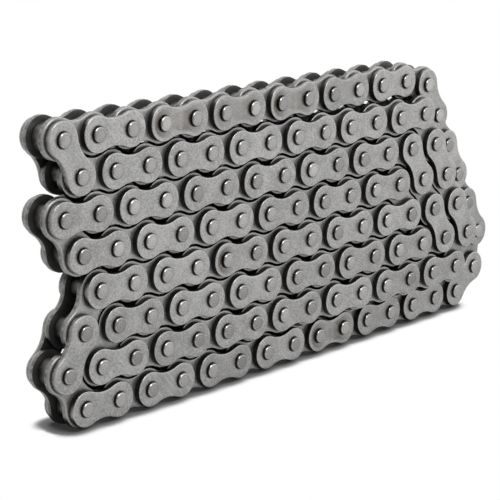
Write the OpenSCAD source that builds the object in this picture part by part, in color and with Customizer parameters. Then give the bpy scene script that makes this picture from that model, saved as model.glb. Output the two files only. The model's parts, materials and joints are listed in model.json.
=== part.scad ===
// Motorcycle roller chain, standing on edge and folded into eight nested rows.
// +X runs along the rows to the right, +Y points away from the front, +Z points up.
// The origin is on the ground, below the middle of the whole bundle.

/* [Pitch and width] */
// Distance from one pin to the next
pitch = 15.875; // [14:0.125:18]
// Clear width between the two inner plates, where a sprocket tooth runs
inner_width = 6.35; // [5:0.05:9]

/* [Plates] */
// Thickness of every plate
plate_t = 2.2; // [1.6:0.1:3]
// Gap between the ends of two inner plates that share one outer link
end_gap = 0.8; // [0.5:0.05:1.5]
// Gap between a plate end and the waist of the row that it nests in
nest_gap = 0.7; // [0.4:0.05:1]
// How much smaller the end radius of an outer plate is than that of an inner plate
outer_step = 1; // [0.4:0.1:1.6]
// Depth of the waist on each side of an outer plate
outer_waist = 1.7; // [1:0.1:2.2]
// Bevel round the outer face of a plate, left by stamping
plate_bevel = 0.35; // [0.1:0.05:0.6]

/* [Pins, bushings and rollers] */
// Diameter of the pins
pin_d = 5.24; // [4.6:0.02:5.6]
// How far the riveted heads of the pins stand out of the outer plates
pin_proud = 1.1; // [0.6:0.05:2]
// How far the riveted heads spread beyond the pins
rivet_flare = 0.2; // [0.05:0.05:0.4]
// Rounding of the riveted heads
pin_round = 0.5; // [0.2:0.05:0.6]
// Wall of the bushings
bush_wall = 0.9; // [0.7:0.05:1]
// How far the bushing ends stand out of the inner plates
bush_proud = 0.05; // [0.02:0.01:0.08]
// Outside diameter of the rollers
roller_d = 10.16; // [9.8:0.02:11]
// Bevel on the ends of the rollers
roller_bevel = 0.4; // [0.1:0.05:0.6]

/* [Running clearances] */
// Radial play of a pin in its bushing
pin_play = 0.05; // [0.03:0.01:0.1]
// Radial play of a roller on its bushing
roller_play = 0.08; // [0.04:0.01:0.12]
// Play between an inner plate and the outer plate beside it
side_play = 0.15; // [0.12:0.01:0.3]
// Play between a roller and the inner plate beside it
roller_side_play = 0.15; // [0.1:0.01:0.3]

/* [Slumped outer turn] */
// Number of joints of the top row that bow towards the back
bow_joints = 7; // [4:1:10]
// Gap between the plates of the slumped turn and the rollers that they rest on
rest_gap = 0.5; // [0.3:0.05:1]

/* [Hidden] */
$fn = 64;

// How the chain lies: each leg is a direction in sixths of a turn and a number of links.
// It starts at the free end, at the left of the top row, and comes back to the same place.
legs = [
    [0, 13], [5, 5], [4, 2], [3, 14], [2, 1], [1, 2], [0, 11], [2, 1], [3, 11], [2, 1],
    [0, 12], [5, 3], [3, 12], [4, 1], [0, 13], [1, 1], [2, 4], [3, 12], [2, 1]
];
lattice = [for (leg = legs) for (n = [1 : leg[1]]) leg[0] * 60];
link_count = len(lattice);
top_last = legs[0][1];
turn_last = top_last + legs[1][1] + legs[2][1];
bottom_last = turn_last + legs[3][1];
row_height = pitch * sqrt(3) / 2;

// Odd links are inner links and even links are outer links.
// The top row swings link by link, and the rest of the bundle is held by its neighbours.
inner_swing = [for (i = [1 : 2 : top_last]) i];
outer_swing = [for (i = [2 : 2 : top_last]) i];
packs = [
    ["outer_loop", top_last + 1, 37],
    ["core", 38, 73],
    ["inner_loop", 74, 103],
    ["second_run", 104, link_count]
];

inner_end_r = (pitch - end_gap) / 2;
inner_waist_h = row_height - inner_end_r - nest_gap;
outer_end_r = inner_end_r - outer_step;
outer_waist_h = outer_end_r - outer_waist;
// The waist arc bites a little into the end arcs, so that they meet in a clean edge
waist_bite = 0.05;
cut_over = 1;

bush_bore_r = pin_d / 2 + pin_play;
bush_r = bush_bore_r + bush_wall;
bush_len = inner_width + 2 * (plate_t + bush_proud);
roller_bore_r = bush_r + roller_play;
roller_len = inner_width - 2 * roller_side_play;
inner_plate_y = inner_width / 2;
outer_plate_y = inner_plate_y + plate_t + side_play;
head_y = outer_plate_y + plate_t;
head_r = pin_d / 2 + rivet_flare;
head_round = min(pin_round, pin_proud / 2);
pin_len = 2 * (head_y + pin_proud);

// The outer turn leans back until its plates stand between those of the column beside it.
// The leans of the bowed joints add up to that offset one link past the top row.
bow_offset = (inner_width + 2 * plate_t + side_play) / 2;
bow_leans = [for (i = [1 : top_last + 1]) min(i - 1, bow_joints)];
bow_tilt = atan(bow_offset / (pitch * (bow_leans * [for (lean = bow_leans) 1])));
bow_turn = bow_tilt * bow_joints;
bottom_tilt = bow_turn / (bow_joints + 1);

// There the turn slumps until its plates rest on the rollers of the column: the last link of
// the top row dips, and the last two links of the turn close the loop again.
// Where its plates have no room between those of the column, it stays nested beside them.
bow_room = inner_width - 2 * plate_t - side_play;
turn_spread = (legs[1][1] * pitch / 2 + inner_end_r) * sin(bow_turn);
rest_span = inner_end_r + roller_d / 2 + rest_gap;
turn_dip = turn_spread < bow_room ? 60 - 2 * asin(rest_span / (2 * pitch)) : 0;
turn_close = pitch * [2 * cos(240) + 1 - cos(turn_dip), 2 * sin(240) + sin(turn_dip)];
close_dir = atan2(turn_close[1], turn_close[0]);
close_half = acos(min(1, norm(turn_close) / (2 * pitch)));
function heading(i) =
    i == top_last ? -turn_dip :
    i == turn_last - 1 ? close_dir + close_half :
    i == turn_last ? close_dir - close_half : lattice[i - 1];

function yaw(i) =
    i <= top_last ? bow_tilt * min(i - 1, bow_joints) :
    i <= turn_last ? bow_turn :
    i <= bottom_last ? bottom_tilt * min(bottom_last + 1 - i, bow_joints + 1) : 0;
function along(i) = pitch * [
    cos(heading(i)) * cos(yaw(i)),
    cos(heading(i)) * sin(yaw(i)),
    sin(heading(i))
];
// The pins one after the other, from the free end
walk = [
    for (i = 0, at = [0, 0, 0]; i <= link_count; i = i + 1, at = i > link_count ? at : at + along(i)) at
];

// The bundle's box, from the pins that lie furthest out
right_reach = inner_end_r * cos(bow_turn) + (inner_plate_y + plate_t) * sin(bow_turn);
head_flat_r = head_r - head_round;
back_reach = (pin_len / 2 - head_round) * cos(bow_turn) + head_flat_r * sin(bow_turn) + head_round;
walk_x = [for (p = walk) p[0]];
walk_y = [for (p = walk) p[1]];
walk_z = [for (p = walk) p[2]];
start = [
    (inner_end_r - min(walk_x) - max(walk_x) - right_reach) / 2,
    (pin_len / 2 - min(walk_y) - max(walk_y) - back_reach) / 2,
    inner_end_r - min(walk_z)
];
pin_at = [for (p = walk) start + p];

INNER_PIECES = ["plates", "bushings", "roller_a", "roller_b"];
OUTER_PIECES = ["plates", "pins"];
PACK_PIECES = ["inner_plates", "outer_plates", "bushings", "rollers", "pins"];
function piece(group, name) = str(group, "_", name);
function link(i) = str("top_link_", i < 10 ? "0" : "", i);

inner_colour = [0.64, 0.64, 0.63];
outer_colour = [0.7, 0.7, 0.69];
pin_colour = [0.58, 0.58, 0.57];
bush_colour = [0.36, 0.35, 0.34];
roller_colour = [0.3, 0.29, 0.28];

// Puts a shape at the middle of link i, with the link along X and its pins along Y
module on_link(i) {
    translate((pin_at[i - 1] + pin_at[i]) / 2)
        rotate([0, 0, yaw(i)])
            rotate([0, -heading(i), 0])
                children();
}

// Stands a shape that was turned about Z on both pin lines of a link, or on one of them
module on_pin_lines(ends = [-1, 1]) {
    for (end = ends)
        translate([end * pitch / 2, 0, 0])
            rotate([90, 0, 0])
                children();
}

// Lays a plate on either side of a link, with its bevelled face outwards
module both_sides(y) {
    for (side = [-1, 1])
        translate([0, side * y, 0])
            rotate([-90 * side, 0, 0])
                children();
}

module bevelled_disc(r) {
    cylinder(r = r, h = plate_t - plate_bevel);
    translate([0, 0, plate_t - plate_bevel])
        cylinder(r1 = r, r2 = r - plate_bevel, h = plate_bevel);
}

module waist_cutter(r) {
    translate([0, 0, -cut_over])
        cylinder(r = r, h = plate_t - plate_bevel + cut_over);
    translate([0, 0, plate_t - plate_bevel])
        cylinder(r1 = r, r2 = r + 2 * plate_bevel, h = 2 * plate_bevel);
}

// A figure-of-eight plate: two round ends, a waist of two hollow arcs and two holes
module plate(end_r, waist_h, hole_r) {
    met_r = end_r - waist_bite;
    waist_r = (pow(pitch / 2, 2) + pow(waist_h, 2) - pow(met_r, 2)) / (2 * (met_r - waist_h));
    web_h = (waist_h + waist_r) * met_r / (waist_r + met_r);
    web_len = pitch * waist_r / (waist_r + met_r);
    difference() {
        union() {
            for (end = [-1, 1])
                translate([end * pitch / 2, 0, 0])
                    bevelled_disc(end_r);
            translate([-web_len / 2, -web_h, 0])
                cube([web_len, 2 * web_h, plate_t]);
        }
        for (side = [-1, 1]) {
            translate([0, side * (waist_h + waist_r), 0])
                waist_cutter(waist_r);
            translate([side * pitch / 2, 0, -cut_over])
                cylinder(r = hole_r, h = plate_t + 2 * cut_over);
        }
    }
}

// A tube with bevelled rims, turned about Z
module tube(r, bore_r, len, bevel) {
    rotate_extrude()
        polygon([
            [bore_r, -len / 2], [r - bevel, -len / 2], [r, bevel - len / 2],
            [r, len / 2 - bevel], [r - bevel, len / 2], [bore_r, len / 2]
        ]);
}

// A solid pin with a rounded, riveted head at each end, turned about Z
module pin() {
    rotate_extrude() {
        translate([0, -head_y])
            square([pin_d / 2, 2 * head_y]);
        for (end = [0, 1])
            mirror([0, end])
                translate([0, head_y]) {
                    square([head_flat_r, pin_proud]);
                    square([head_r, pin_proud - head_round]);
                    translate([head_flat_r, pin_proud - head_round])
                        circle(head_round);
                }
    }
}

// The pin of the open pivot: only its two riveted ends, so that the free end can lift out
module pin_ends() {
    difference() {
        pin();
        cylinder(r = pin_d, h = 2 * outer_plate_y, center = true);
    }
}

module inner_plates(first, last) {
    color(inner_colour)
        for (i = [first : last])
            if (i % 2 == 1)
                on_link(i)
                    both_sides(inner_plate_y)
                        plate(inner_end_r, inner_waist_h, bush_r);
}

module outer_plates(first, last) {
    color(outer_colour)
        for (i = [first : last])
            if (i % 2 == 0)
                on_link(i)
                    both_sides(outer_plate_y)
                        plate(outer_end_r, outer_waist_h, pin_d / 2);
}

module pins(first, last) {
    color(pin_colour)
        for (i = [first : last])
            if (i % 2 == 0)
                on_link(i) {
                    on_pin_lines(i == link_count ? [-1] : [-1, 1])
                        pin();
                    if (i == link_count)
                        on_pin_lines([1])
                            pin_ends();
                }
}

module bushings(first, last) {
    color(bush_colour)
        for (i = [first : last])
            if (i % 2 == 1)
                on_link(i)
                    on_pin_lines()
                        tube(bush_r, bush_bore_r, bush_len, bush_proud);
}

module rollers(first, last, ends = [-1, 1]) {
    color(roller_colour)
        for (i = [first : last])
            if (i % 2 == 1)
                on_link(i)
                    on_pin_lines(ends)
                        tube(roller_d / 2, roller_bore_r, roller_len, roller_bevel);
}

for (i = inner_swing) {
    inner_plates(i, i);
    bushings(i, i);
    rollers(i, i, [-1]);
    rollers(i, i, [1]);
}
for (i = outer_swing) {
    outer_plates(i, i);
    pins(i, i);
}
for (pack = packs) {
    inner_plates(pack[1], pack[2]);
    outer_plates(pack[1], pack[2]);
    bushings(pack[1], pack[2]);
    rollers(pack[1], pack[2]);
    pins(pack[1], pack[2]);
}
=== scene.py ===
# %% [markdown]
# # A roller chain folded into a block
# The object is one closed motorcycle chain of 120 links. It stands on edge and is folded into
# eight rows that nest in each other like stacked logs. Only five shapes make it up: an inner
# plate, an outer plate, a pin, a bushing and a roller, so the lesson makes each shape once, as
# arrays of points, and lays copies along the chain. The CAD model is loaded first as a fixed
# frame: it says where everything is, and each new piece stands for one of its parts.

# %% Load the frame
import json
import math

import bpy
import numpy as np
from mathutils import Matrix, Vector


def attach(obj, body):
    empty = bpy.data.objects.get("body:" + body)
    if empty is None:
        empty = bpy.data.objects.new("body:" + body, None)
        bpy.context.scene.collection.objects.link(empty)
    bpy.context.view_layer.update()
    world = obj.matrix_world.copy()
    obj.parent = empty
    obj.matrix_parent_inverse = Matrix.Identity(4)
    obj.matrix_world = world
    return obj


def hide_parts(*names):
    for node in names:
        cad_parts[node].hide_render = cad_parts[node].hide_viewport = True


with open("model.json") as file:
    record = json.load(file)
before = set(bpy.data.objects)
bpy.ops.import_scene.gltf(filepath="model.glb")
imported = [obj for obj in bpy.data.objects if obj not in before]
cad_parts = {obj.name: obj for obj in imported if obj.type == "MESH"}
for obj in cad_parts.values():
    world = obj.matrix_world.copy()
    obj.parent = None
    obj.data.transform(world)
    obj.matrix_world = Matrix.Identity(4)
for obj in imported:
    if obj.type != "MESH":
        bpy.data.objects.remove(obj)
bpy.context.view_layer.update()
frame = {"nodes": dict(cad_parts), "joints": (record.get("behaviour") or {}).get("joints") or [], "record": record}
body_of = {node: body for body, nodes in frame["record"]["behaviour"]["bodies"].items() for node in nodes}

# %% [markdown]
# ## The sizes of one link
# A chain of this class has a pitch of 5/8 inch from pin to pin and 1/4 inch of room between its
# inner plates. Everything below follows from those two and a few thicknesses and gaps. They are
# the same values that the CAD model is drawn from, here in metres, as Blender works.

# %% Sizes of one link
MM = 0.001
pitch = 15.875 * MM
inner_width = 6.35 * MM
plate_t = 2.2 * MM
side_play = 0.15 * MM
end_gap = 0.8 * MM
nest_gap = 0.7 * MM
outer_step = 1.0 * MM
waist_step = 1.7 * MM
pin_play = 0.05 * MM
pin_proud = 1.1 * MM
bushing_wall = 0.9 * MM
roller_play = 0.08 * MM
roller_side_play = 0.15 * MM

row_height = pitch * math.sqrt(3) / 2
inner_end_r = (pitch - end_gap) / 2
inner_waist = row_height - inner_end_r - nest_gap
outer_end_r = inner_end_r - outer_step
outer_waist = outer_end_r - waist_step
inner_plate_y = inner_width / 2
outer_plate_y = inner_plate_y + plate_t + side_play

pin_r = 2.62 * MM
bushing_r = pin_r + pin_play + bushing_wall
roller_r = 5.08 * MM
head_y = outer_plate_y + plate_t
pin_end_y = head_y + pin_proud
print(f"inner plate {2 * inner_end_r / MM:.2f} mm high, chain {2 * pin_end_y / MM:.2f} mm over the pins")

# %% [markdown]
# ## The way the chain lies
# A row of nested links can only turn in sixths of a circle, so the fold is a walk: so many links
# to the right, a few down at 60 degrees, so many back to the left. Placing 120 links by hand
# would be slow and would never close. Here the walk is a short list of legs, and one cumulative
# sum gives all the pins. The outer turn at the right is the exception: it leans back and slumps
# until its plates rest on the rollers of the column beside it.

# %% Headings of the links
legs = [
    (0, 13), (5, 5), (4, 2), (3, 14), (2, 1), (1, 2), (0, 11), (2, 1), (3, 11), (2, 1),
    (0, 12), (5, 3), (3, 12), (4, 1), (0, 13), (1, 1), (2, 4), (3, 12), (2, 1),
]
top_last = legs[0][1]
turn_last = top_last + legs[1][1] + legs[2][1]
bottom_last = turn_last + legs[3][1]
heading = np.concatenate([np.full(links, math.radians(60 * sixth)) for sixth, links in legs])
link_number = np.arange(1, len(heading) + 1)

# The slump: a plate end comes down until it rests on a roller of the next column, so the span
# from pin to pin sets the dip, and the last two links of the turn close what is left over.
rest_gap = 0.5 * MM
rest_span = inner_end_r + roller_r + rest_gap
dip = math.radians(60) - 2 * math.asin(rest_span / (2 * pitch))
left_over = 2 * np.exp(1j * math.radians(240)) + 1 - np.exp(-1j * dip)
close_half = math.acos(abs(left_over) / 2)
heading[top_last - 1] = -dip
heading[turn_last - 2] = np.angle(left_over) + close_half
heading[turn_last - 1] = np.angle(left_over) - close_half
print(len(heading), "links, the turn dips", round(math.degrees(dip), 2), "degrees")

# %% Lean of the links towards the back
bow_joints = 7
leans = np.minimum(link_number - 1, bow_joints)
bow_offset = (inner_width + 2 * plate_t + side_play) / 2
bow_tilt = math.atan(bow_offset / (pitch * leans[:top_last + 1].sum()))
back_to_front = np.clip(bottom_last + 1 - link_number, 0, bow_joints + 1) / (bow_joints + 1)
lean = bow_tilt * np.where(link_number <= turn_last, leans, bow_joints * back_to_front)
print(f"the outer turn leans back by {math.degrees(lean.max()):.2f} degrees")

# %% Pins and axes of the links
# Link i runs from pin i - 1 to pin i. Its three axes are: along the link, across the chain
# towards the back, and up out of the link.
along = np.stack([np.cos(heading) * np.cos(lean), np.cos(heading) * np.sin(lean), np.sin(heading)], -1)
across = np.stack([-np.sin(lean), np.cos(lean), np.zeros_like(lean)], -1)
upward = np.cross(along, across)
pivots = {joint["name"]: np.array(joint["pos_m"]) for joint in frame["joints"]}
walk = np.concatenate([np.zeros((1, 3)), np.cumsum(pitch * along, axis=0)])
pins = walk - walk[1] + pivots["top_link_01_pivot"]
middle = (pins[:-1] + pins[1:]) / 2

off = max(np.linalg.norm(pins[i] - pivots[f"top_link_{i:02d}_pivot"]) for i in range(1, top_last + 1))
print(f"walk closes within {np.linalg.norm(walk[-1]) / MM:.4f} mm, pivots met within {off / MM:.4f} mm")

# %% [markdown]
# ## Surfaces from arrays
# A mesh is only points and the faces between them. A grid of points, rings by places round the
# ring, has its faces in a fixed pattern, so they too come from index arithmetic on whole arrays.
# Points that fall on each other, at the seam of two halves or at the pole of a turned part, are
# merged, so that each skin is closed.

# %% Grid of quads, merged points, outward faces
def ring_quads(rings, around, closed):
    """Quads between ring k and ring k + 1 of a grid, from place j to place j + 1 round the ring.
    Places wrap round. A closed profile also joins the last ring to the first."""
    k = np.arange(rings if closed else rings - 1)[:, None]
    j = np.arange(around)[None, :]
    here, there, after = k * around, (k + 1) % rings * around, (j + 1) % around
    return np.stack([here + j, here + after, there + after, there + j], -1)


def closed_skin(points, quads, marks):
    """Merges equal points, drops the sides that vanish at a pole, and turns the faces outwards:
    the sum of a . (b x c) over the triangles of a closed skin is six times its volume."""
    keys = np.round(points / (1e-5 * MM)).astype(np.int64)
    _, first, same = np.unique(keys, axis=0, return_index=True, return_inverse=True)
    points, marks, quads = points[first], marks[first], same.reshape(-1)[quads]
    a, b, c, d = (points[quads[:, corner]] for corner in range(4))
    volume = np.einsum("ij,ij->", a, np.cross(b, c)) + np.einsum("ij,ij->", a, np.cross(c, d))
    quads = quads if volume > 0 else quads[:, ::-1]
    pole = np.any(quads == np.roll(quads, 1, axis=1), axis=1)
    corners = quads[pole]
    kept = corners != np.roll(corners, 1, axis=1)
    return points, quads[~pole], corners[kept].reshape(-1, 3), marks


def lay_copies(shape, origins, turns):
    """One copy of the shape per origin: point = origin + turn . point of the shape, with the
    columns of turn as the copy's three axes. Faces are the shape's, shifted copy by copy."""
    points, quads, triangles, marks = shape
    placed = origins[:, None, :] + np.einsum("nij,vj->nvi", turns, points)
    shift = len(points) * np.arange(len(origins))[:, None, None]
    return (placed.reshape(-1, 3), (quads + shift).reshape(-1, 4), (triangles + shift).reshape(-1, 3),
            np.tile(marks, (len(origins), 1)))


# %% Put a surface into the scene
def add_piece(node, surface, tones):
    """Makes the mesh of a surface, with its marks and tones as attributes, and lets it stand for
    the CAD node: it rides on the same body, and the node is hidden. Its finish is given later, from the slot it is
    listed under."""
    points, quads, triangles, marks = surface
    mesh = bpy.data.meshes.new("look_" + node)
    mesh.from_pydata(points, [], quads.tolist() + triangles.tolist())
    mesh.shade_smooth()
    mesh.set_sharp_from_angle(angle=math.radians(40))
    for title, values in (("marks", marks), ("tones", tones)):
        rgba = np.concatenate([values, np.ones((len(values), 1))], axis=1)
        mesh.attributes.new(title, "FLOAT_COLOR", "POINT").data.foreach_set("color", rgba.ravel())
    made = bpy.data.objects.new("look_" + node, mesh)
    bpy.context.scene.collection.objects.link(made)
    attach(made, body_of[node])
    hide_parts(node)
    return made


# %% [markdown]
# ## Waisted plates
# Each plate is stamped from 2.2 mm strip as a figure of eight: two round ends and a waist that the
# next row nests in. One could draw it with a boolean of two cylinders and a box, but that leaves
# ragged faces that shade badly. Instead half a plate is a set of rings round one pin. The outline
# is an arc about the pin, an arc about a far centre for the waist, and the middle line, where the
# mirrored half joins. The rings run along a profile: the groove that riveting presses into the face
# round the pin, the flat face, the round edge that the punch leaves, the wall, the back and the hole.

# %% Half outline of a plate
END_STEPS, WAIST_STEPS, MIDDLE_STEPS = 16, 3, 2


def half_outline(end_r, waist, inset):
    """Points round the right half of a plate, moved inwards by inset: an end arc of radius
    end_r - inset about the pin, a waist arc that touches it, and the straight middle line.
    The waist arc's centre lies on the middle line, so tangency gives its radius."""
    far_r = ((pitch / 2) ** 2 + waist ** 2 - end_r ** 2) / (2 * (end_r - waist))
    meet = math.atan2(waist + far_r, -pitch / 2)
    end = pitch / 2 + (end_r - inset) * np.exp(1j * np.linspace(-meet, meet, END_STEPS + 1))
    sweep = np.linspace(meet - math.pi, -math.pi / 2, WAIST_STEPS + 1)
    top = 1j * (waist + far_r) + (far_r + inset) * np.exp(1j * sweep)
    line = 1j * np.linspace(top[-1].imag, -top[-1].imag, MIDDLE_STEPS + 1)
    return np.concatenate([end, top[1:], line[1:], np.conj(top[::-1])[1:-1]])


# %% Whole plate
groove_in, groove_out, groove_depth = 0.24 * MM, 0.95 * MM, 0.26 * MM
edge_roll, edge_drop = 0.3 * MM, 0.03 * MM
face_insets = np.array([1.3, 0.6]) * MM


def plate_marks(deep):
    """Marks on the rings of a plate: worn rim with painted highlight, depth into the chain, nearness to the pin.
    Rings 4 to 7 are the rolled edge, and the first three and the last one lie next to the pin."""
    rim_wear_and_highlight, near = np.zeros(deep.shape), np.zeros(deep.shape)
    rim_wear_and_highlight[4:8] = np.array([1.0, 1.0, 0.8, 0.2])[:, None]
    near[[0, 1, 2, -1]] = np.array([1.0, 0.9, 0.3, 1.0])[:, None]
    return np.stack([rim_wear_and_highlight, deep / plate_t, near], -1).reshape(-1, 3)


def whole_plate(end_r, waist, hole_r, plate_y):
    """A profile carried round the half outline, then mirrored: each ring has an inset and a depth
    below the outer face. The hole's rings sit at the same angles about the pin."""
    bend = np.radians([0, 30, 60, 90])
    inset = np.concatenate([face_insets, edge_roll * (1 - np.sin(bend)), [0.0]])
    depth = np.concatenate([0 * face_insets, edge_drop + edge_roll * (1 - np.cos(bend)), [plate_t]])
    rings = [half_outline(end_r, waist, step) for step in inset]
    spokes = np.exp(1j * np.angle(rings[0] - pitch / 2))
    groove = [pitch / 2 + (hole_r + step) * spokes for step in (groove_in, groove_out)]
    flat = np.stack([*groove, *rings, pitch / 2 + hole_r * spokes])
    deep = np.concatenate([[groove_depth, 0.0], depth, [plate_t]])[:, None] * np.ones(flat.shape)
    half = np.stack([flat.real, plate_y + plate_t - deep, flat.imag], -1).reshape(-1, 3)

    # Where the two halves meet, a wall on the middle line would lie inside the plate: it is left out.
    count, around = flat.shape
    inside = np.zeros((count, around), bool)
    line_start = END_STEPS + WAIST_STEPS
    inside[2:count - 2, line_start:line_start + MIDDLE_STEPS] = True
    quads = ring_quads(count, around, closed=True)[~inside]
    points = np.concatenate([half, half * [-1, 1, 1]])
    faces = np.concatenate([quads, quads[:, ::-1] + len(half)])
    return closed_skin(points, faces, np.tile(plate_marks(deep), (2, 1)))


inner_plate = whole_plate(inner_end_r, inner_waist, bushing_r, inner_plate_y)
outer_plate = whole_plate(outer_end_r, outer_waist, pin_r, outer_plate_y)
print("faces of one inner and one outer plate:", len(inner_plate[1]), len(outer_plate[1]))

# %% [markdown]
# ## Turned parts
# Pins, bushings and rollers are turned on a lathe, so each is a profile of radius against length
# swung about the pin's axis. The pin's ends are riveted: pressed until they spread over the plate,
# with a wide round rim, a fine line inside it and a shallow dish, all left by the tool. The pin that
# opens the loop is only its two ends, so that the top row can be lifted out link by link. The
# bushings are nearly hidden, and their CAD shape is already right, so they only get a finish.

# %% Swing a profile about the pin's axis
TURN_STEPS = 24


def turned(profile, closed):
    """Point (r, y) of the profile goes to (r cos t, y, r sin t) for t round the circle.
    Marks: worn rim with painted highlight, side of the pin, nearness to the axis, from the profile's last columns."""
    r, y, rim_wear_and_highlight, side, near = np.array(profile).T
    t = np.linspace(0, 2 * math.pi, TURN_STEPS, endpoint=False)
    points = np.stack([np.outer(r, np.cos(t)), np.outer(y, np.ones_like(t)), np.outer(r, np.sin(t))], -1)
    marks = np.repeat(np.stack([rim_wear_and_highlight, side, near], -1)[:, None, :], TURN_STEPS, axis=1)
    quads = ring_quads(len(r), TURN_STEPS, closed).reshape(-1, 4)
    return closed_skin(points.reshape(-1, 3), quads, marks.reshape(-1, 3))


# %% Riveted pins
rivet_flare, rim_round = 0.2 * MM, 0.72 * MM
line_width, dish = 0.13 * MM, 0.06 * MM


def riveted_end(start_y):
    """Profile of one pin end, from the shank at start_y out to the dished middle of its face. The rim
    is a quarter circle, and the ring inside it, with a side mark again, is the fine line."""
    head_r, base_y = pin_r + rivet_flare, head_y - groove_depth
    face_r = head_r - rim_round
    shank = [(pin_r, start_y, 0, 1, 0), (pin_r, base_y, 0, 1, 0), (head_r, base_y, 0, 1, 0)]
    corner = [(face_r + rim_round * math.cos(b), pin_end_y - rim_round * (1 - math.sin(b)),
               math.sin(2 * b), math.cos(b), 0.2) for b in np.radians([0, 25, 50, 75, 90])]
    face = [
        (face_r - line_width, pin_end_y - dish, 0, 1.1, 0.3),
        (face_r - 2 * line_width, pin_end_y - dish / 2, 0, 0, 0.4),
        (0, pin_end_y - dish, 0, 0, 1),
    ]
    return shank + corner + face


def reflected(profile):
    """The same profile for the other end of the pin, in the other order."""
    return [(r, -y, *marks) for r, y, *marks in profile[::-1]]


whole_pin = turned(reflected(riveted_end(head_y)[1:]) + riveted_end(head_y)[1:], closed=False)
back_end = turned([(0, outer_plate_y, 0, 1, 0), *riveted_end(outer_plate_y)], closed=False)
front_end = turned([*reflected(riveted_end(outer_plate_y)), (0, -outer_plate_y, 0, 1, 0)], closed=False)
print("faces of one pin:", len(whole_pin[1]) + len(whole_pin[2]))

# %% Roller
roller_bevel = 0.4 * MM
roller_half = inner_width / 2 - roller_side_play
roller_profile = [
    (bushing_r + roller_play, roller_half, 0, 1, 1),
    (roller_r - roller_bevel, roller_half, 0.6, 0.6, 0),
    (roller_r, roller_half - roller_bevel, 0.6, 0, 0),
]
roller = turned(reflected(roller_profile) + roller_profile, closed=True)
print("faces of one roller:", len(roller[1]))

# %% [markdown]
# ## Laying the pieces along the chain
# Odd links are inner links: two inner plates on two bushings, with a roller on each. Even links are
# outer links: two outer plates on two pins. The CAD model keeps the top row link by link, because
# those links swing, and the rest of the bundle in four packs. Each group of equal parts becomes one
# mesh, so a pack of 36 plates is one piece. Two numbers drawn once per copy, from a seeded generator,
# make one plate a little lighter or more scratched than the next, as in a real batch. A short list
# names the pins with old oil dried at their left, which would otherwise be painted by hand; there the
# plate is darker, partly from that stain and partly as a painted reflection of the pin's dark side.

# %% Axes of the copies
packs = {"outer_loop": (14, 37), "core": (38, 73), "inner_loop": (74, 103), "second_run": (104, 120)}
chance = np.random.default_rng(7)


def link_axes(links, side):
    """Turn of each link: along, across and up, with the last two reversed for the front side, which
    is half a turn about the link and not a mirror image."""
    at = links - 1
    return np.stack([along[at], side * across[at], side * upward[at]], -1)


def both_sides(shape, links):
    """Plates of the given links, at the back and at the front."""
    origins = np.concatenate([middle[links - 1]] * 2)
    return lay_copies(shape, origins, np.concatenate([link_axes(links, 1), link_axes(links, -1)]))


def merged(surfaces):
    """Several surfaces as one: points one after the other, faces shifted past the points before."""
    points, quads, triangles, marks = zip(*surfaces)
    starts = np.cumsum([0] + [len(each) for each in points[:-1]])
    quads = [each + start for each, start in zip(quads, starts)]
    triangles = [each + start for each, start in zip(triangles, starts)]
    return tuple(np.concatenate(parts) for parts in (points, quads, triangles, marks))


def copy_tones(surface, copies):
    """One tone per copy, room for a stain with its painted reflection, and the copy's wear, spread over the copy's
    points.
    """
    each = np.stack([chance.random(copies), np.zeros(copies), chance.random(copies)], -1)
    return np.repeat(each, len(surface[0]) // copies, axis=0)


def left_of_pin(shape, links):
    """1 at points of the plates that lie to the left of their own pin, 0 to the right: one half less
    the step from the pin to the point along the ground, as a share of the span that it fades over."""
    own_pin = np.sign(shape[0][:, 0]) * pitch / 2
    step = shape[0] - np.stack([own_pin, 0 * own_pin, 0 * own_pin], -1)
    turns = np.concatenate([link_axes(links, 1), link_axes(links, -1)])
    ground = np.einsum("nj,vj->nv", turns[:, 0, :], step * [1, 0, 1])
    fade_span = 1.2 * inner_end_r
    return np.clip(0.5 - ground / fade_span, 0, 1).ravel()


# %% Plates
# pins whose plates are darker at their left: a stain and a painted reflection of the pin's dark side
stain_and_reflection_pins = np.zeros(len(heading) + 1)
stain_and_reflection_pins[[3, 4, 5, 6, 7, 8]] = [0.9, 0.7, 0.5, 0.5, 1.0, 0.6]
stain_and_reflection_pins[[25, 26, 37, 41, 43]] = [0.8, 0.8, 0.35, 1.0, 0.3]
pieces = {"inner_plate": [], "outer_plate": [], "pin": [], "roller": []}


def add_plates(node, slot, links):
    """Both plates of every link in one node."""
    shape = inner_plate if slot == "inner_plate" else outer_plate
    surface = both_sides(shape, links)
    tones = copy_tones(surface, 2 * len(links))
    if slot == "outer_plate":
        first_half = shape[0][None, :, 0] < 0
        stains_and_reflections = np.where(first_half, stain_and_reflection_pins[links - 1][:, None], stain_and_reflection_pins[links][:, None])
        tones[:, 1] = np.tile(stains_and_reflections, (2, 1)).ravel() * left_of_pin(shape, links)
    pieces[slot].append(add_piece(node, surface, tones))


for link in range(1, top_last + 1):
    slot = "inner_plate" if link % 2 else "outer_plate"
    add_plates(f"top_link_{link:02d}_plates", slot, np.array([link]))
for pack, (first, last) in packs.items():
    members = np.arange(first, last + 1)
    add_plates(pack + "_inner_plates", "inner_plate", members[members % 2 == 1])
    add_plates(pack + "_outer_plates", "outer_plate", members[members % 2 == 0])
print({slot: len(made) for slot, made in pieces.items()}, "pieces")

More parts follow.
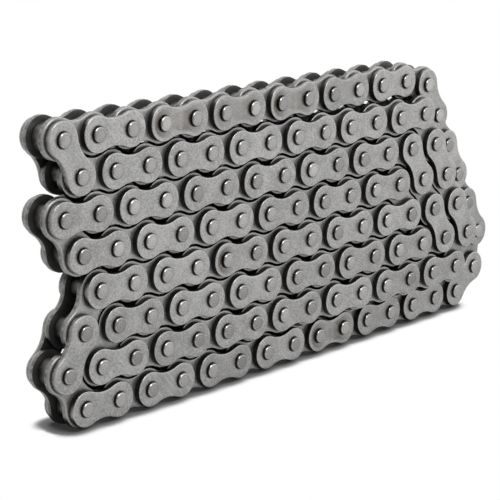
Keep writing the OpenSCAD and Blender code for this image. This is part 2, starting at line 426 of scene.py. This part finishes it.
# %% Pins and rollers
def add_turned(node, slot, shape, links, pin_numbers):
    """Copies of a turned part on the pins named, with the axes of the links that carry them. The very
    last pin, which opens the loop, is only its two ends."""
    if pin_numbers[-1] == len(heading):
        whole = lay_copies(shape, pins[pin_numbers[:-1]], link_axes(links[:-1], 1))
        ends = [lay_copies(end, pins[-1:], link_axes(links[-1:], 1)) for end in (front_end, back_end)]
        surface = merged([whole, *ends])
        tones = np.full((len(surface[0]), 3), 0.5)
    else:
        surface = lay_copies(shape, pins[pin_numbers], link_axes(links, 1))
        tones = copy_tones(surface, len(pin_numbers))
    pieces[slot].append(add_piece(node, surface, tones))


for link in range(1, top_last + 1):
    name, own = f"top_link_{link:02d}", np.array([link])
    if link % 2:
        add_turned(name + "_roller_a", "roller", roller, own, own - 1)
        add_turned(name + "_roller_b", "roller", roller, own, own)
    else:
        add_turned(name + "_pins", "pin", whole_pin, np.array([link, link]), np.array([link - 1, link]))
for pack, (first, last) in packs.items():
    members = np.arange(first, last + 1)
    for slot, part, shape in (("roller", "_rollers", roller), ("pin", "_pins", whole_pin)):
        links = members[members % 2 == (slot == "roller")]
        carriers = np.repeat(links, 2)
        ends = np.stack([links - 1, links], -1).ravel()
        add_turned(pack + part, slot, shape, carriers, ends)
print({slot: len(made) for slot, made in pieces.items()}, "pieces")

# %% [markdown]
# ## Steel in nodes
# All the finishes are the same hard steel with different work on it. A photograph wrapped round the
# plates would repeat on every link, so the finishes are made of noise that is read in the object's
# own coordinates, in metres: a scale of 1900 means grains of about half a millimetre.

# %% Helpers for node trees
def new_finish(title):
    """A material with a Principled shader, ready for nodes."""
    finish = bpy.data.materials.new(title)
    finish.use_nodes = True
    return finish, finish.node_tree, finish.node_tree.nodes["Principled BSDF"]


def add_node(tree, kind, sockets, **fields):
    """Adds a node, sets its fields, then links or sets each named socket."""
    made = tree.nodes.new("ShaderNode" + kind)
    for field, value in fields.items():
        setattr(made, field, value)
    for key, value in sockets.items():
        if isinstance(value, bpy.types.NodeSocket):
            tree.links.new(value, made.inputs[key])
        else:
            made.inputs[key].default_value = value
    return made


def sum_of(tree, value, factor, rest):
    """value x factor + rest."""
    return add_node(tree, "Math", {0: value, 1: factor, 2: rest}, operation="MULTIPLY_ADD").outputs[0]


def product(tree, a, b):
    """a x b, kept between 0 and 1."""
    return add_node(tree, "Math", {0: a, 1: b}, operation="MULTIPLY", use_clamp=True).outputs[0]


def larger(tree, a, b):
    """The larger of a and b."""
    return add_node(tree, "Math", {0: a, 1: b}, operation="MAXIMUM").outputs[0]


def between(tree, value, low, high):
    """0 where the value is low or less, 1 where it is high or more, smooth in between."""
    return add_node(tree, "MapRange", {"Value": value, "From Min": low, "From Max": high},
                    interpolation_type="SMOOTHSTEP").outputs["Result"]


def blended(tree, amount, first, second, kind="MIX"):
    """Colour that goes from the first to the second with the amount."""
    sockets = {0: amount, 6: first, 7: second}
    return add_node(tree, "Mix", sockets, data_type="RGBA", blend_type=kind).outputs[2]


def noise(tree, scale, detail, stretch=(1, 1, 1), slant=0.0):
    """Noise in the object's own coordinates, drawn out along its axes and then slanted in the side view."""
    place = add_node(tree, "TexCoord", {}).outputs["Object"]
    place = add_node(tree, "Mapping", {"Vector": place, "Scale": stretch, "Rotation": (0.0, slant, 0.0)},
                     vector_type="TEXTURE").outputs["Vector"]
    return add_node(tree, "TexNoise", {"Vector": place, "Scale": scale, "Detail": detail}).outputs["Fac"]


def marks_of(tree, title):
    """The three numbers that a piece's points carry under that title."""
    colour = add_node(tree, "Attribute", {}, attribute_name=title).outputs["Color"]
    return add_node(tree, "SeparateColor", {"Color": colour}).outputs


def emboss(tree, steel, height, strength, depth):
    """Tilts the shader's normal as a relief of that height and depth would."""
    bump = add_node(tree, "Bump", {"Height": height, "Strength": strength, "Distance": depth})
    tree.links.new(bump.outputs["Normal"], steel.inputs["Normal"])


# %% [markdown]
# ## Plate steel
# The plates are stamped, which cuts the first third of a wall smooth and tears the rest into dark
# streaks. Then they are hardened and tumbled in a drum, which leaves a fine grey mottle, rubs the
# edges bright and leaves a few slanting scratches, and the rims are painted lighter still as a
# highlight. A thin dull film stays on the steel, so it is set a little below full metal. Last the
# plates are oiled. Wherever two plates come close, and on the back faces, the steel is painted darker
# as shade. Ambient occlusion finds those places: it is the share of open space around a point, so it
# knows the gaps of any pose without painting them by hand. A short reach finds the seam between a
# face and the plate that lies on it, and a longer one finds the walls that face another wall.

# %% Colours on a plate
inner_light, inner_dark = (0.465, 0.461, 0.453, 1), (0.29, 0.287, 0.281, 1)
outer_light, outer_dark = (0.505, 0.501, 0.492, 1), (0.305, 0.302, 0.296, 1)
scratched = (0.75, 0.745, 0.73, 1)
# rim colour: rubbed wear and a painted highlight
rubbed_and_highlit_rim = (0.8, 0.79, 0.775, 1)
cut_wall = (0.24, 0.23, 0.205, 1)
torn_wall = (0.085, 0.08, 0.072, 1)
# colour left of some pins: an oil stain and a painted reflection of the pin's dark side
dried_oil_and_reflection = (0.1, 0.077, 0.056, 1)
# painted shade: the darker colour of the back faces, which look into the chain
back_face_shade = (0.3, 0.296, 0.29, 1)
# painted shade: the near black of the seams and slots between plates
painted_shade_black = (0.026, 0.0253, 0.0245, 1)
seam_reach, slot_reach = 2.5 * MM, 6 * MM
print(f"seams are found within {seam_reach / MM:.1f} mm, slots within {slot_reach / MM:.1f} mm")

# %% Plate steel finish
def shut_in(tree, reach, shut, clear):
    """1 where the share of open space within reach is shut or less, 0 where it is clear or more."""
    open_share = add_node(tree, "AmbientOcclusion", {"Distance": reach}, samples=8).outputs["AO"]
    return between(tree, open_share, clear, shut)


def plate_steel(title, light, dark, unshaded_at):
    """Mottled steel, its rims lighter as wear and painted highlight, streaked on the walls, darker beside some
    pins from a stain and a painted reflection, with painted shade on the back faces and near-black painted shade
    in the seams and slots between plates. Where the share of open space is unshaded_at or more, a face gets no
    painted seam shade."""
    finish, tree, steel = new_finish(title)
    rim_wear_and_highlight, deep, near = marks_of(tree, "marks")
    tone, stain_and_reflection, wear = marks_of(tree, "tones")
    grain = noise(tree, 1900.0, 5.0)
    cloud = noise(tree, 160.0, 3.0)
    streak = noise(tree, 600.0, 6.0, (1, 4, 1))
    scratch = noise(tree, 1100.0, 2.0, (16, 2, 1), 0.9)
    wall = between(tree, deep, 0.14, 0.3)

    mottle = sum_of(tree, cloud, 0.25, product(tree, grain, 0.75))
    mottle = sum_of(tree, tone, 0.08, mottle)
    colour = blended(tree, between(tree, mottle, 0.42, 0.66), dark, light)
    scratch = product(tree, between(tree, scratch, 0.58, 0.66), between(tree, wear, 0.3, 1.0))
    colour = blended(tree, product(tree, scratch, 0.28), colour, scratched)
    # rims lighter: partly rubbed wear, partly a painted highlight
    colour = blended(tree, product(tree, rim_wear_and_highlight, 0.2), colour, rubbed_and_highlit_rim)
    colour = blended(tree, product(tree, wall, 0.35), colour, cut_wall)
    torn = product(tree, between(tree, deep, 0.3, 0.6), between(tree, streak, 0.4, 0.58))
    colour = blended(tree, product(tree, torn, 0.65), colour, torn_wall)
    # beside some pins: a brown oil stain, darkened further as a painted reflection of the pin's dark side
    beside_pin = product(tree, stain_and_reflection, between(tree, near, 0.1, 0.55))
    film = product(tree, beside_pin, between(tree, mottle, 0.34, 0.53))
    colour = blended(tree, film, colour, dried_oil_and_reflection)

    # painted shade: the back faces of the plates are darker
    back = between(tree, deep, 0.92, 1.0)
    colour = blended(tree, back, colour, back_face_shade)
    # painted shade: seams and slots between plates turn near black where ambient occlusion finds little open space
    seam_shade = shut_in(tree, seam_reach, 0.2, unshaded_at)
    slot = product(tree, between(tree, deep, 0.03, 0.15), shut_in(tree, slot_reach, 0.76, 0.97))
    slot = product(tree, slot, sum_of(tree, back, -0.25, 1.0))
    gap_shade = product(tree, larger(tree, seam_shade, slot), 0.97)
    colour = blended(tree, gap_shade, colour, painted_shade_black)

    tree.links.new(colour, steel.inputs["Base Color"])
    rough = sum_of(tree, film, -0.2, sum_of(tree, mottle, 0.2, 0.26))
    tree.links.new(rough, steel.inputs["Roughness"])
    steel.inputs["Metallic"].default_value = 0.8
    emboss(tree, steel, blended(tree, wall, grain, streak), strength=0.4, depth=0.03 * MM)
    return finish


plate_finishes = {
    "inner_plate": plate_steel("tumbled steel, inner plates", inner_light, inner_dark, unshaded_at=0.85),
    "outer_plate": plate_steel("tumbled steel, outer plates", outer_light, outer_dark, unshaded_at=0.8),
}
print("made", [finish.name for finish in plate_finishes.values()])

# %% [markdown]
# ## Pin ends
# A pin end is ground flat, then riveted. Its face has fine rings from the tool. Its rim is rubbed
# bright and painted lighter still as a highlight, and its side and the line inside the rim are
# painted near black as shade. The rings are a wave of the nearness to the axis, which the points
# carry as a mark.

# %% Pin steel finish
pin_dark, pin_light = (0.31, 0.305, 0.296, 1), (0.52, 0.514, 0.5, 1)
# rim: wear and painted highlight; side: painted shade
pin_rim_wear_and_highlight, pin_side_shade = (0.7, 0.69, 0.67, 1), (0.045, 0.042, 0.038, 1)


def pin_steel():
    """Ground steel with faint rings on the face, a rim lighter as wear and painted highlight, and a side and fine
    line painted near black as shade.
    """
    finish, tree, steel = new_finish("ground steel, pins")
    rim_wear_and_highlight, side, near = marks_of(tree, "marks")
    tone, _, _ = marks_of(tree, "tones")
    grain = noise(tree, 2600.0, 4.0)
    rings = add_node(tree, "Math", {0: sum_of(tree, near, 60.0, 0.0)}, operation="SINE").outputs[0]
    mottle = sum_of(tree, grain, 0.6, product(tree, tone, 0.4))
    colour = blended(tree, between(tree, mottle, 0.3, 0.7), pin_dark, pin_light)
    # painted highlight on the worn rim, then painted shade on the side and the fine line
    colour = blended(tree, product(tree, rim_wear_and_highlight, 0.35), colour, pin_rim_wear_and_highlight)
    colour = blended(tree, between(tree, side, 0.7, 1.0), colour, pin_side_shade)
    tree.links.new(colour, steel.inputs["Base Color"])
    tree.links.new(sum_of(tree, grain, 0.2, 0.18), steel.inputs["Roughness"])
    steel.inputs["Metallic"].default_value = 1.0
    emboss(tree, steel, sum_of(tree, rings, 0.15, grain), strength=0.1, depth=0.02 * MM)
    return finish


pin_finish = pin_steel()
print("made", pin_finish.name)

# %% [markdown]
# ## Oiled rollers and bushings
# Rollers and bushings are case hardened, which leaves them dark, and they are wet with chain oil. In
# the shade between the plates they show as near black with one soft band of light along the barrel.
# The rollers of the top row get a lighter copy of the same finish, a painted light for the light that falls on
# them from above.

# %% Dark oiled finish
def oiled_steel(title, dark, light):
    """Dark steel with a cloudy film of oil, smoother where the film is thick."""
    finish, tree, steel = new_finish(title)
    film = noise(tree, 350.0, 4.0)
    grain = noise(tree, 2400.0, 2.0)
    thick = between(tree, film, 0.35, 0.65)
    tree.links.new(blended(tree, thick, light, dark), steel.inputs["Base Color"])
    tree.links.new(sum_of(tree, thick, -0.14, 0.42), steel.inputs["Roughness"])
    steel.inputs["Metallic"].default_value = 1.0
    emboss(tree, steel, grain, strength=0.2, depth=0.02 * MM)
    return finish


roller_steel = oiled_steel("oiled steel, rollers", (0.13, 0.128, 0.124, 1), (0.21, 0.206, 0.2, 1))
# painted light: the top-row rollers get lighter colours, as lit from above
top_rollers_painted_lighter = oiled_steel("oiled steel, top rollers painted lighter", (0.2, 0.198, 0.195, 1), (0.32, 0.316, 0.31, 1))
bushing_finish = oiled_steel("oiled steel, bushings", (0.06, 0.058, 0.055, 1), (0.14, 0.136, 0.13, 1))
print("made", [finish.name for finish in (roller_steel, top_rollers_painted_lighter, bushing_finish)])

# %% Give each piece its finish
finishes = {**plate_finishes, "pin": pin_finish, "roller": roller_steel}
for slot, made in pieces.items():
    for piece in made:
        # the top-row rollers take the lighter copy, painted light from above
        on_top = slot == "roller" and "top_link" in piece.name
        piece.data.materials.append(top_rollers_painted_lighter if on_top else finishes[slot])
for name, node in frame["nodes"].items():
    if name.endswith("_bushings"):
        node.data.materials.clear()
        node.data.materials.append(bushing_finish)
print(len(bpy.data.materials), "materials")

# %% [markdown]
# ## White ground
# The chain stands on white paper that runs out into a white background. Paper lit to pure white by
# stronger lamps would also burn out the steel, so the camera sees an even white of strength 1, with
# only a short shadow where the chain comes close. Steel looks like what it mirrors: the faces mirror
# bright paper, a little shaded near the chain, and the end walls mirror the left, where a studio is
# half dark and, in front, darker still. So mirrored rays find paper and room less bright there.

# %% Helpers for paper and room
LEFT, LEFT_FRONT, BACK = (-1.0, 0.0, 0.0), (-0.8, -0.6, 0.0), (0.0, 1.0, 0.0)


def grey(share):
    """A neutral colour of that brightness, from 0 for black to 1 for white."""
    return (share, share, share, 1)


def way_along(tree, place, direction):
    """How far a place lies along a direction: their dot product."""
    return add_node(tree, "VectorMath", {0: place, 1: direction}, operation="DOT_PRODUCT").outputs["Value"]


def seen_straight(tree):
    """1 for rays from the camera, also after a surface has passed them on, else 0."""
    rays = add_node(tree, "LightPath", {}).outputs
    return larger(tree, rays["Is Camera Ray"], rays["Is Transmission Ray"])


def seen_mirrored(tree):
    """1 for rays that a surface has mirrored, else 0."""
    return add_node(tree, "LightPath", {}).outputs["Is Glossy Ray"]


# %% White paper
shadow_reach = 9 * MM
paper, tree, _ = new_finish("white paper")
tree.nodes.clear()
lamp_side = add_node(tree, "CombineXYZ", {0: 0.5, 1: -0.3, 2: 0.8}).outputs[0]
sockets = {"Distance": shadow_reach, "Normal": lamp_side}
open_share = add_node(tree, "AmbientOcclusion", sockets, samples=32).outputs["AO"]
shadow = blended(tree, between(tree, open_share, 0.3, 0.75), grey(0.03), grey(0.18))
shadow = blended(tree, between(tree, open_share, 0.7, 0.92), shadow, grey(1))

place = add_node(tree, "TexCoord", {}).outputs["Object"]
apart = add_node(tree, "VectorMath", {0: place}, operation="ABSOLUTE").outputs["Vector"]
far_off = between(tree, way_along(tree, apart, BACK), -0.05, 0.3)
at_left = between(tree, way_along(tree, place, LEFT), 0.13, 0.3)
at_left_front = between(tree, way_along(tree, place, LEFT_FRONT), 0.12, 0.28)
mirrored = blended(tree, far_off, grey(0.62), grey(1))
mirrored = blended(tree, at_left, mirrored, grey(0.5))
mirrored = blended(tree, at_left_front, mirrored, grey(0.3))
mirrored = blended(tree, seen_mirrored(tree), grey(1), mirrored)

shown = add_node(tree, "Emission", {"Color": blended(tree, 1.0, shadow, mirrored, "MULTIPLY")})
matt = add_node(tree, "BsdfDiffuse", {"Color": grey(0.8)})
seen = larger(tree, seen_straight(tree), seen_mirrored(tree))
both = add_node(tree, "MixShader", {0: seen, 1: matt.outputs[0], 2: shown.outputs[0]})
add_node(tree, "OutputMaterial", {"Surface": both.outputs[0]})
print(len(tree.nodes), "nodes in the paper")

# %% Floor
floor_half = 4.0
floor_mesh = bpy.data.meshes.new("floor")
corners = np.array([(-1, -1, 0), (1, -1, 0), (1, 1, 0), (-1, 1, 0)]) * floor_half
floor_mesh.from_pydata(corners, [], [(0, 1, 2, 3)])
floor_mesh.materials.append(paper)
floor = bpy.data.objects.new("floor", floor_mesh)
bpy.context.scene.collection.objects.link(floor)
print("floor", 2 * floor_half, "m wide")

# %% White room
world = bpy.data.worlds.new("white room")
world.use_nodes = True
bpy.context.scene.world = world
tree = world.node_tree
room = tree.nodes["Background"]
facing = add_node(tree, "TexCoord", {}).outputs["Generated"]
at_left = between(tree, way_along(tree, facing, LEFT), 0.1, 0.6)
at_left_front = between(tree, way_along(tree, facing, LEFT_FRONT), 0.25, 0.8)
mirrored = blended(tree, at_left, grey(1), grey(0.6))
mirrored = blended(tree, at_left_front, mirrored, grey(0.35))
walls = blended(tree, seen_mirrored(tree), grey(0.75), mirrored)
tree.links.new(blended(tree, seen_straight(tree), walls, grey(1)), room.inputs["Color"])
room.inputs["Strength"].default_value = 1.0
print(len(tree.nodes), "nodes in the room")

# %% [markdown]
# ## Lamps
# One large soft lamp hangs high in front, a little to the left, which puts a thin bright line on the
# upper left rims of plates and pins, as in the photograph. The white room does the rest.

# %% Lamps
def add_lamp(title, place, aim, size, watts):
    """A square area lamp that faces its aim."""
    light = bpy.data.lights.new(title, "AREA")
    light.shape, light.size, light.energy = "SQUARE", size, watts
    lamp = bpy.data.objects.new(title, light)
    bpy.context.scene.collection.objects.link(lamp)
    lamp.location = place
    facing = Vector(aim) - Vector(place)
    lamp.rotation_euler = facing.to_track_quat("-Z", "Y").to_euler()
    return lamp


key = add_lamp("key lamp", place=(-0.25, -0.5, 0.95), aim=(0, 0, 0.05), size=0.4, watts=5.0)
print("key lamp of", key.data.energy, "W")

# %% [markdown]
# ## Camera
# The photograph was taken from the left end and a little above, with a long lens, so the rows run
# away to the right but hardly shrink. The place and the lens come from fitting the pins of the
# model to the pins in the photograph, so here they are plain numbers from the first pin.

# %% Camera
from_first_pin = np.array([-403.438, -466.034, 103.841]) * MM
look_down, look_right = 13.11, 47.205
camera = bpy.data.objects.new("camera", bpy.data.cameras.new("camera"))
bpy.context.scene.collection.objects.link(camera)
camera.location = pins[0] + from_first_pin
camera.rotation_euler = np.radians([90 - look_down, 0, -look_right])
camera.data.sensor_width = 36.0
camera.data.lens = 132.5
camera.data.clip_start = 0.01
bpy.context.scene.camera = camera
bpy.context.scene.view_settings.view_transform = "Standard"
